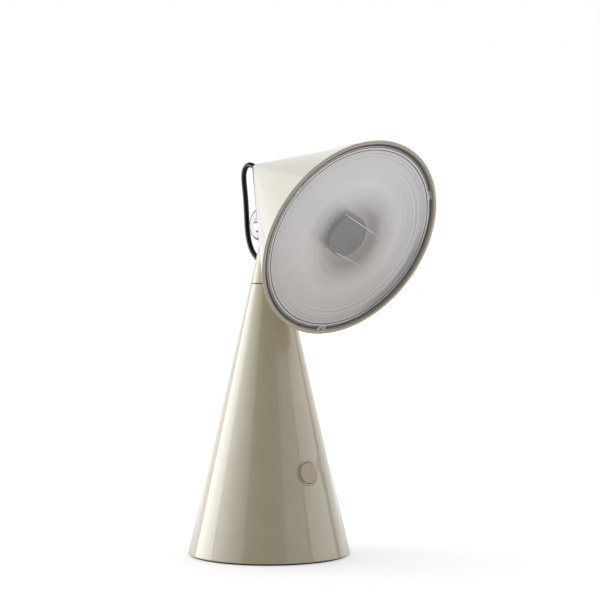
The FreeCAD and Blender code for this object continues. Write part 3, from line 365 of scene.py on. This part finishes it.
def lens_finish(name):
    """Clear plastic with haze and fine rings, and painted shade: dark lines in its grooves, dark
    rings over its prisms, a crescent at its edge and a darker tone lower down.
    """
    material = clear_finish(name, LENS_TINT, LENS_CLEAR, LENS_ROUGHNESS)
    tree = material.node_tree
    shader = tree.nodes["Principled BSDF"]
    middle = head_matrix() @ Vector((0.0, 0.0, LENS_FRONT))
    place = object_place(tree)
    reach = vector_node(tree, "DISTANCE", place, middle)
    share = math_node(tree, "DIVIDE", reach, LENS_RADIUS)
    haze = ramp(tree, share, [(at, (clear,) * 3) for at, clear in CLEAR_STOPS])
    tree.links.new(haze, shader.inputs["Transmission Weight"])

    # Colour rings; the dark lines on the fine grooves are painted shade
    stops = [(0.0, LENS_TINT)]
    for at, tint, half, soft in RING_LINES:
        stops.append((at - half - soft, LENS_TINT))
        stops.append((at - half, tint))
        stops.append((at + half, tint))
        stops.append((at + half + soft, LENS_TINT))
    colour = ramp(tree, share, stops)

    offset = vector_node(tree, "SUBTRACT", place, middle)
    away = vector_node(tree, "DOT_PRODUCT", offset, PRISM_SHADE_SIDE)
    # Painted shade of the prisms in fine dark rings, strongest on one side
    rings = tree.nodes.new("ShaderNodeTexNoise")
    rings.noise_dimensions = "1D"
    set_inputs(rings, PRISM_SHADE_NOISE)
    tree.links.new(share, rings.inputs["W"])
    wave = spread_value(tree, rings.outputs["Fac"], 0.0, 1.0, *PRISM_SHADE_WAVE)
    side = spread_value(tree, away, PRISM_SHADE_SIDE_LEAST, 1.0, *PRISM_SHADE_SIDE_REACH)
    outer = spread_value(tree, share, 0.0, 1.0, *PRISM_SHADE_RADIUS_REACH)
    strength = math_node(tree, "MULTIPLY", math_node(tree, "MULTIPLY", side, outer), wave)
    prism_shade = math_node(tree, "MULTIPLY_ADD", strength, -PRISM_SHADE_CONTRAST, 1.0)
    # Painted shade in a crescent at the edge
    shade_crescent = math_node(
        tree,
        "MULTIPLY",
        spread_value(tree, share, 0.0, 1.0, *SHADE_CRESCENT_RADIUS_REACH),
        spread_value(tree, away, 0.0, 1.0, *SHADE_CRESCENT_SIDE_REACH),
    )
    shade_crescent_fade = math_node(tree, "MULTIPLY_ADD", shade_crescent, -SHADE_CRESCENT_CONTRAST, 1.0)
    ring_shaded = vector_node(tree, "SCALE", colour, math_node(tree, "MULTIPLY", prism_shade, shade_crescent_fade))

    # Painted shade that darkens the lens lower down
    height = tree.nodes.new("ShaderNodeSeparateXYZ")
    tree.links.new(offset, height.inputs[0])
    cloud = noise(tree, HEIGHT_SHADE_CLOUD_SCALE, GRAIN_DETAIL)
    level = math_node(tree, "MULTIPLY_ADD", cloud, HEIGHT_SHADE_CLOUD_HEIGHT, height.outputs["Z"])
    height_shade = ramp(tree, spread_value(tree, level, 0.0, 1.0, *HEIGHT_SHADE_HEIGHTS), HEIGHT_SHADE_STOPS)
    shaded_colour = vector_node(tree, "MULTIPLY", ring_shaded, height_shade)
    tree.links.new(shaded_colour, shader.inputs["Base Color"])
    return material


# Hinge: a point of its axis, radius of its discs, and their colours over shares of that
# radius: bright dish, polished face, dark line of painted shade, brushed rim
HINGE_AXIS = (0.0, 0.0, 0.3124)
HINGE_RADIUS = 0.0154
HINGE_ROUGHNESS = 0.03
DISH_METAL = (0.50, 0.50, 0.50)
FACE_METAL = (0.165, 0.165, 0.168)
SHADE_LINE_METAL = (0.038, 0.038, 0.042)
RIM_METAL = (0.104, 0.112, 0.119)
HINGE_STOPS = [
    (0.0, DISH_METAL),
    (0.47, DISH_METAL),
    (0.50, FACE_METAL),
    (0.82, FACE_METAL),
    (0.835, SHADE_LINE_METAL),
    (0.865, SHADE_LINE_METAL),
    (0.88, RIM_METAL),
    (1.0, RIM_METAL),
]
HINGE_GRAIN_SCALE = 900.0
HINGE_GRAIN_SHADES = (0.97, 1.03)
HINGE_GRAIN_RANGE = (0.3, 0.7)


def hinge_finish(name):
    """Polished discs whose rounded edge is brushed, with a fine line of painted shade inside the
    edge.
    """
    material, tree, shader = new_material(name)
    set_inputs(shader, {"Metallic": 1.0, "Roughness": HINGE_ROUGHNESS})
    flat = vector_node(tree, "MULTIPLY", object_place(tree), (0.0, 1.0, 1.0))
    reach = vector_node(tree, "DISTANCE", flat, HINGE_AXIS)
    share = math_node(tree, "DIVIDE", reach, HINGE_RADIUS)
    colour = ramp(tree, share, HINGE_STOPS)
    grain = noise(tree, HINGE_GRAIN_SCALE, GRAIN_DETAIL)
    shade = spread_value(tree, grain, *HINGE_GRAIN_SHADES, *HINGE_GRAIN_RANGE)
    grained = vector_node(tree, "SCALE", colour, shade)
    tree.links.new(grained, shader.inputs["Base Color"])
    return material


MATERIALS = {name: plain_finish(name, *row) for name, row in FINISHES.items()}
MATERIALS["hinge_metal"] = hinge_finish("hinge_metal")
MATERIALS["clear_lens"] = lens_finish("clear_lens")
# Other clear pieces: tint, clearness and roughness
MATERIALS["clear_window"] = clear_finish("clear_window", (0.95, 0.95, 0.96), 0.9, 0.05)
# Pale ribs whose colour is a painted highlight
MATERIALS["highlight_rib"] = clear_finish("highlight_rib", (0.95, 0.94, 0.94), 0.2, 0.2)
MATERIALS["frosted_window"] = clear_finish("frosted_window", (0.20, 0.20, 0.21), 0.5, 0.2)

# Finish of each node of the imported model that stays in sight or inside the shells
NODE_FINISH = {
    "base_shell": "greige_paint",
    "neck": "greige_paint",
    "head_shell": "greige_paint",
    "base_plate": "zinc_steel",
    "plate_screws": "zinc_steel",
    "foot_pad": "black_rubber",
    "ballast": "cast_iron",
    "ballast_bolts": "zinc_steel",
    "battery_tray": "black_plastic",
    "battery_cells": "cell_wrap",
    "battery_cap": "black_plastic",
    "tie_screws": "zinc_steel",
    "control_board": "board_green",
    "board_screws": "zinc_steel",
    "usb_inlet": "polished_metal",
    "inlet_board": "board_green",
    "inlet_bracket": "black_plastic",
    "button_bezel": "bezel",
    "button_cap": "pale_cap",
    "switch_housing": "black_plastic",
    "switch_body": "black_plastic",
    "swivel_bush": "bronze",
    "base_wiring": "black_lead",
    "split_washer": "black_rubber",
    "thrust_washer": "bronze",
    "stop_washer": "zinc_steel",
    "swivel_nut": "zinc_steel",
    "neck_grommet": "black_rubber",
    "neck_wiring": "black_lead",
    "tilt_bracket": "hinge_metal",
    "pivot_bolt": "zinc_steel",
    "friction_washers": "bronze",
    "tilt_stop_pin": "zinc_steel",
    "bracket_nuts": "zinc_steel",
    "tip_grommet": "black_rubber",
    "module_plate": "bare_aluminium",
    "module_screws": "zinc_steel",
    "heat_sink": "bare_aluminium",
    "led_board": "board_white",
    "led_emitter": "phosphor",
    "led_barrel": "barrel_grey",
    "barrel_window": "frosted_window",
    "inner_liner": "white_liner",
    "lens_gasket": "dark_gasket",
    "lens_clips": "clear_window",
    "head_wiring": "black_lead",
}


def finish_node(name, finish):
    """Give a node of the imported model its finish."""
    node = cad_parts[name]
    if not node.material_slots:
        node.data.materials.append(None)
    for slot in node.material_slots:
        slot.link = "OBJECT"
        slot.material = MATERIALS[finish]


for node_name, finish_name in NODE_FINISH.items():
    finish_node(node_name, finish_name)


# Mesh helpers
def new_piece(name, mesh, finish):
    """Object with one finish, shaded smooth."""
    piece = bpy.data.objects.new(name, mesh)
    bpy.context.scene.collection.objects.link(piece)
    mesh.materials.append(MATERIALS[finish])
    for face in mesh.polygons:
        face.use_smooth = True
    return piece


def bridge(form, rings, sides):
    """Faces between neighbouring rings of points; a ring may be a single point on the axis."""
    for first, second in zip(rings, rings[1:]):
        for side in range(sides):
            after = (side + 1) % sides
            corners = (
                first[side % len(first)],
                second[side % len(second)],
                second[after % len(second)],
                first[after % len(first)],
            )
            form.faces.new(tuple(dict.fromkeys(corners)))


def closed_bar(form, rings, sides):
    """Faces along a row of rings, with a flat face at both ends."""
    bridge(form, rings, sides)
    form.faces.new(rings[0])
    form.faces.new(rings[-1])


def finished_mesh(name, form):
    """Mesh of a closed form, with its faces turned outward."""
    bmesh.ops.recalc_face_normals(form, faces=form.faces)
    mesh = bpy.data.meshes.new(name)
    form.to_mesh(mesh)
    form.free()
    return mesh


def round_ring(form, middle, radius, first_way, second_way, sides):
    """Ring of points about a middle, in the plane of two directions."""
    ring = []
    for side in range(sides):
        angle = 2 * math.pi * side / sides
        out = math.cos(angle) * first_way + math.sin(angle) * second_way
        ring.append(form.verts.new(middle + radius * out))
    return ring


def turned_mesh(name, outline, sides, matrix):
    """Solid turned about Z from (radius, height) corners that start and end on the axis."""
    form = bmesh.new()
    rings = []
    for radius, height in outline:
        ring = []
        for side in range(sides if radius > 0.0 else 1):
            angle = 2 * math.pi * side / sides
            place = (radius * math.cos(angle), radius * math.sin(angle), height)
            ring.append(form.verts.new(place))
        rings.append(ring)
    bridge(form, rings, sides)
    mesh = finished_mesh(name, form)
    mesh.transform(matrix)
    return mesh


def spline_points(points):
    """Points read from the smooth spline through the route's control points."""
    curve = bpy.data.curves.new("lead_route", "CURVE")
    curve.dimensions = "3D"
    curve.resolution_u = LEAD_STEPS
    spline = curve.splines.new("NURBS")
    spline.points.add(len(points) - 1)
    for control, place in zip(spline.points, points):
        control.co = (*place, 1.0)
    spline.order_u = 3
    spline.use_endpoint_u = True
    route = bpy.data.objects.new("lead_route", curve)
    bpy.context.scene.collection.objects.link(route)
    bpy.context.view_layer.update()
    line = bpy.data.meshes.new_from_object(route)
    places = [vertex.co.copy() for vertex in line.vertices]
    bpy.data.objects.remove(route)
    bpy.data.curves.remove(curve)
    bpy.data.meshes.remove(line)
    return places


def tube_mesh(name, places, radius, sides):
    """Closed round tube that follows places in the middle plane."""
    form = bmesh.new()
    side_way = Vector((1.0, 0.0, 0.0))
    rings = []
    for index, place in enumerate(places):
        before = places[max(index - 1, 0)]
        after = places[min(index + 1, len(places) - 1)]
        up_way = (after - before).normalized().cross(side_way).normalized()
        rings.append(round_ring(form, place, radius, side_way, up_way, sides))
    closed_bar(form, rings, sides)
    return finished_mesh(name, form)


# Lead
lead_line = spline_points(LEAD_POINTS)
lead = new_piece(
    "lead_cover",
    tube_mesh("lead_cover", lead_line, LEAD_DIAMETER / 2, LEAD_SIDES),
    "black_lead",
)
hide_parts("jumper_lead")
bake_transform(lead)


# Lens
def lens_outline():
    """Outline of the lens: smooth front with two fine grooves, fine prisms behind."""
    outline = [(0.0, LENS_FRONT)]
    for share in LENS_LINES:
        line = share * LENS_RADIUS
        outline.append((line - LINE_HALF, LENS_FRONT))
        outline.append((line, LENS_FRONT - LINE_DEPTH))
        outline.append((line + LINE_HALF, LENS_FRONT))
    outline.append((LENS_RADIUS - EDGE_CHAMFER, LENS_FRONT))
    outline.append((LENS_RADIUS, LENS_FRONT - EDGE_CHAMFER))
    outline.append((LENS_RADIUS, LENS_BACK))
    prism_reach = LENS_RADIUS - EDGE_BAND
    outline.append((prism_reach, LENS_BACK))
    pitch = (prism_reach - PLAIN_CORE) / PRISM_COUNT
    for index in range(PRISM_COUNT):
        outer = prism_reach - index * pitch
        depth = PRISM_DEPTH * (outer / prism_reach) ** 2
        outline.append((outer - PRISM_LAND * pitch, PRISM_FLOOR))
        outline.append((outer - (1.0 - PRISM_LAND) * pitch, PRISM_FLOOR - depth))
    outline.append((0.0, PRISM_FLOOR))
    return outline


lens = new_piece(
    "lens_pane",
    turned_mesh("lens_pane", lens_outline(), LENS_SIDES, head_matrix()),
    "clear_lens",
)
# Flat faces keep the prisms crisp
for face in lens.data.polygons:
    face.use_smooth = False
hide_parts("fresnel_lens")
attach(lens, "head")


# Pale ribs behind the lens, a painted highlight
def rib_mesh():
    """Bars with a three-sided section behind the lens, thin at both ends."""
    form = bmesh.new()
    for start, end in RIB_LINES:
        start, end = Vector(start), Vector(end)
        side = (end - start).orthogonal().normalized() * RIB_WIDTH / 2
        rings = []
        for share, size in RIB_TAPER:
            place = start + (end - start) * share
            left = place + side * size
            right = place - side * size
            corners = [
                (left.x, left.y, PRISM_FLOOR),
                (right.x, right.y, PRISM_FLOOR),
                (place.x, place.y, PRISM_FLOOR - RIB_DEPTH * size),
            ]
            rings.append([form.verts.new(corner) for corner in corners])
        closed_bar(form, rings, 3)
    mesh = finished_mesh("lens_ribs", form)
    mesh.transform(head_matrix())
    return mesh


ribs = new_piece("lens_ribs", rib_mesh(), "highlight_rib")
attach(ribs, "head")


# Return spring behind the button cap, which the cap squeezes as it goes in; the coil is
# built at one fixed length
def coil_mesh():
    """Closed round wire wound about the button's axis, with one flat turn at each end."""
    form = bmesh.new()
    side_way = Vector((1.0, 0.0, 0.0))
    up_way = SPRING_WAY.cross(side_way).normalized()
    steps = SPRING_TURNS * SPRING_STEPS
    rings = []
    for step in range(steps + 1):
        turn = SPRING_TURNS * step / steps
        rise = min(max((turn - 1.0) / (SPRING_TURNS - 2.0), 0.0), 1.0) - 0.5
        rise = rise * (SPRING_LENGTH - 2 * SPRING_WIRE)
        angle = 2 * math.pi * turn
        out = math.cos(angle) * side_way + math.sin(angle) * up_way
        place = SPRING_MIDDLE + rise * SPRING_WAY + SPRING_RADIUS * out
        rings.append(round_ring(form, place, SPRING_WIRE, out, SPRING_WAY, SPRING_SIDES))
    closed_bar(form, rings, SPRING_SIDES)
    return finished_mesh("return_coil", form)


spring = new_piece("return_coil", coil_mesh(), "zinc_steel")
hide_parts("return_spring")
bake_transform(spring)


# Camera
def add_camera():
    """Camera at the photograph's place and angle."""
    data = bpy.data.cameras.new("camera")
    data.lens = CAMERA_LENS
    data.sensor_width = SENSOR_WIDTH
    data.clip_start = CAMERA_NEAR
    data.clip_end = CAMERA_FAR
    camera = bpy.data.objects.new("camera", data)
    camera.location = CAMERA_PLACE
    camera.rotation_euler = Vector(CAMERA_SIGHT).to_track_quat("-Z", "Y").to_euler()
    bpy.context.scene.collection.objects.link(camera)
    bpy.context.scene.camera = camera


add_camera()


# Panels of light: name, bearing in degrees, distance and height of the middle, height of the
# target on the object's axis, width and height of the panel, strength. A bearing is seen from
# the object, from the camera's side, positive to the left
PANELS = [
    ("left_strip", 107.0, 1.3, 0.44, 0.44, 0.88, 0.76, 4.8),
    ("back_left", 144.5, 2.2, 1.1, 1.1, 1.30, 2.4, 1.08),
    ("back_middle", 172.0, 2.2, 1.1, 1.1, 0.86, 2.4, 0.84),
    ("back_right", 211.5, 2.2, 1.1, 1.1, 2.3, 2.4, 1.02),
    ("left_front", 62.6, 1.6, 0.70, 0.6, 1.50, 0.94, 1.0),
    ("right_side", -87.5, 1.4, 0.55, 0.2, 1.28, 1.7, 1.35),
    ("right_front", -42.0, 1.7, 0.60, 0.2, 1.05, 1.8, 0.6),
    ("top_panel", 0.0, 0.0, 1.9, 0.2, 1.6, 1.6, 0.7),
]
# Factor on a panel's strength at its left and right end
FADES = {"left_front": (3.1, 0.75)}

# Surroundings: their strength as light and where they are seen
WORLD_PLAIN = 0.25
WORLD_SEEN = 1.0

# Floor: half its width, its grey and roughness, how its glow grows over the distance from the
# object so that it ends in white, and the share of that glow in reflections
FLOOR_REACH = 12.0
FLOOR_GREY = 0.80
FLOOR_ROUGHNESS = 0.9
GLOW_STRENGTHS = (0.35, 1.0)
GLOW_DISTANCES = (0.25, 1.2)
GLOW_MIRRORED = 0.45


def around(bearing, distance, height):
    """Place at a bearing, distance and height."""
    toward_camera = Vector((CAMERA_PLACE[0], CAMERA_PLACE[1], 0.0)).normalized()
    turn = Matrix.Rotation(-math.radians(bearing), 4, "Z")
    return (turn @ toward_camera) * distance + Vector((0.0, 0.0, height))


def add_panel(name, bearing, distance, height, target_height, width, tall, strength):
    """Soft rectangular light that faces the object's axis."""
    place = around(bearing, distance, height)
    data = bpy.data.lights.new(name, "AREA")
    data.shape = "RECTANGLE"
    data.size = width
    data.size_y = tall
    data.energy = strength * width * tall * math.pi
    panel = bpy.data.objects.new(name, data)
    panel.location = place
    sight = Vector((0.0, 0.0, target_height)) - place
    panel.rotation_euler = sight.to_track_quat("-Z", "Y").to_euler()
    bpy.context.scene.collection.objects.link(panel)
    panel.visible_camera = False
    if name in FADES:
        fade_panel(panel, width, *FADES[name])


def fade_panel(panel, width, left, right):
    """Change a panel's strength evenly from its left end to its right end."""
    panel.data.use_nodes = True
    tree = panel.data.node_tree
    across = panel.rotation_euler.to_matrix().col[0]
    place = tree.nodes.new("ShaderNodeNewGeometry").outputs["Position"]
    offset = vector_node(tree, "SUBTRACT", place, panel.location)
    along = vector_node(tree, "DOT_PRODUCT", offset, across)
    strength = spread_value(tree, along, left, right, -width / 2, width / 2)
    tree.links.new(strength, tree.nodes["Emission"].inputs["Strength"])


for panel_row in PANELS:
    add_panel(*panel_row)


def add_world():
    """Even white surroundings: white where they are seen, plain light elsewhere."""
    world = bpy.data.worlds.new("surroundings")
    bpy.context.scene.world = world
    world.use_nodes = True
    tree = world.node_tree
    background = tree.nodes["Background"]
    background.inputs["Color"].default_value = (1.0, 1.0, 1.0, 1.0)
    path = tree.nodes.new("ShaderNodeLightPath").outputs
    seen = math_node(tree, "MAXIMUM", path["Is Camera Ray"], path["Is Transmission Ray"])
    strength = spread_value(tree, seen, WORLD_PLAIN, WORLD_SEEN)
    tree.links.new(strength, background.inputs["Strength"])


def add_floor():
    """Large pale floor that keeps the object's shadow."""
    mesh = bpy.data.meshes.new("floor")
    corners = [(-1, -1, 0), (1, -1, 0), (1, 1, 0), (-1, 1, 0)]
    mesh.from_pydata([Vector(corner) * FLOOR_REACH for corner in corners], [], [(0, 1, 2, 3)])
    floor = bpy.data.objects.new("floor", mesh)
    bpy.context.scene.collection.objects.link(floor)
    material, tree, shader = new_material("floor")
    set_inputs(
        shader,
        {
            "Base Color": (FLOOR_GREY, FLOOR_GREY, FLOOR_GREY, 1.0),
            "Roughness": FLOOR_ROUGHNESS,
            "Emission Color": (1.0, 1.0, 1.0, 1.0),
        },
    )
    distance = vector_node(tree, "DISTANCE", object_place(tree), (0.0, 0.0, 0.0))
    glow = spread_value(tree, distance, *GLOW_STRENGTHS, *GLOW_DISTANCES)
    path = tree.nodes.new("ShaderNodeLightPath").outputs
    mirrored = math_node(tree, "MULTIPLY", path["Is Glossy Ray"], GLOW_MIRRORED)
    seen = math_node(tree, "MAXIMUM", path["Is Camera Ray"], mirrored)
    tree.links.new(math_node(tree, "MULTIPLY", glow, seen), shader.inputs["Emission Strength"])
    mesh.materials.append(material)


add_world()
add_floor()

scene = bpy.context.scene
scene.view_settings.view_transform = "Standard"
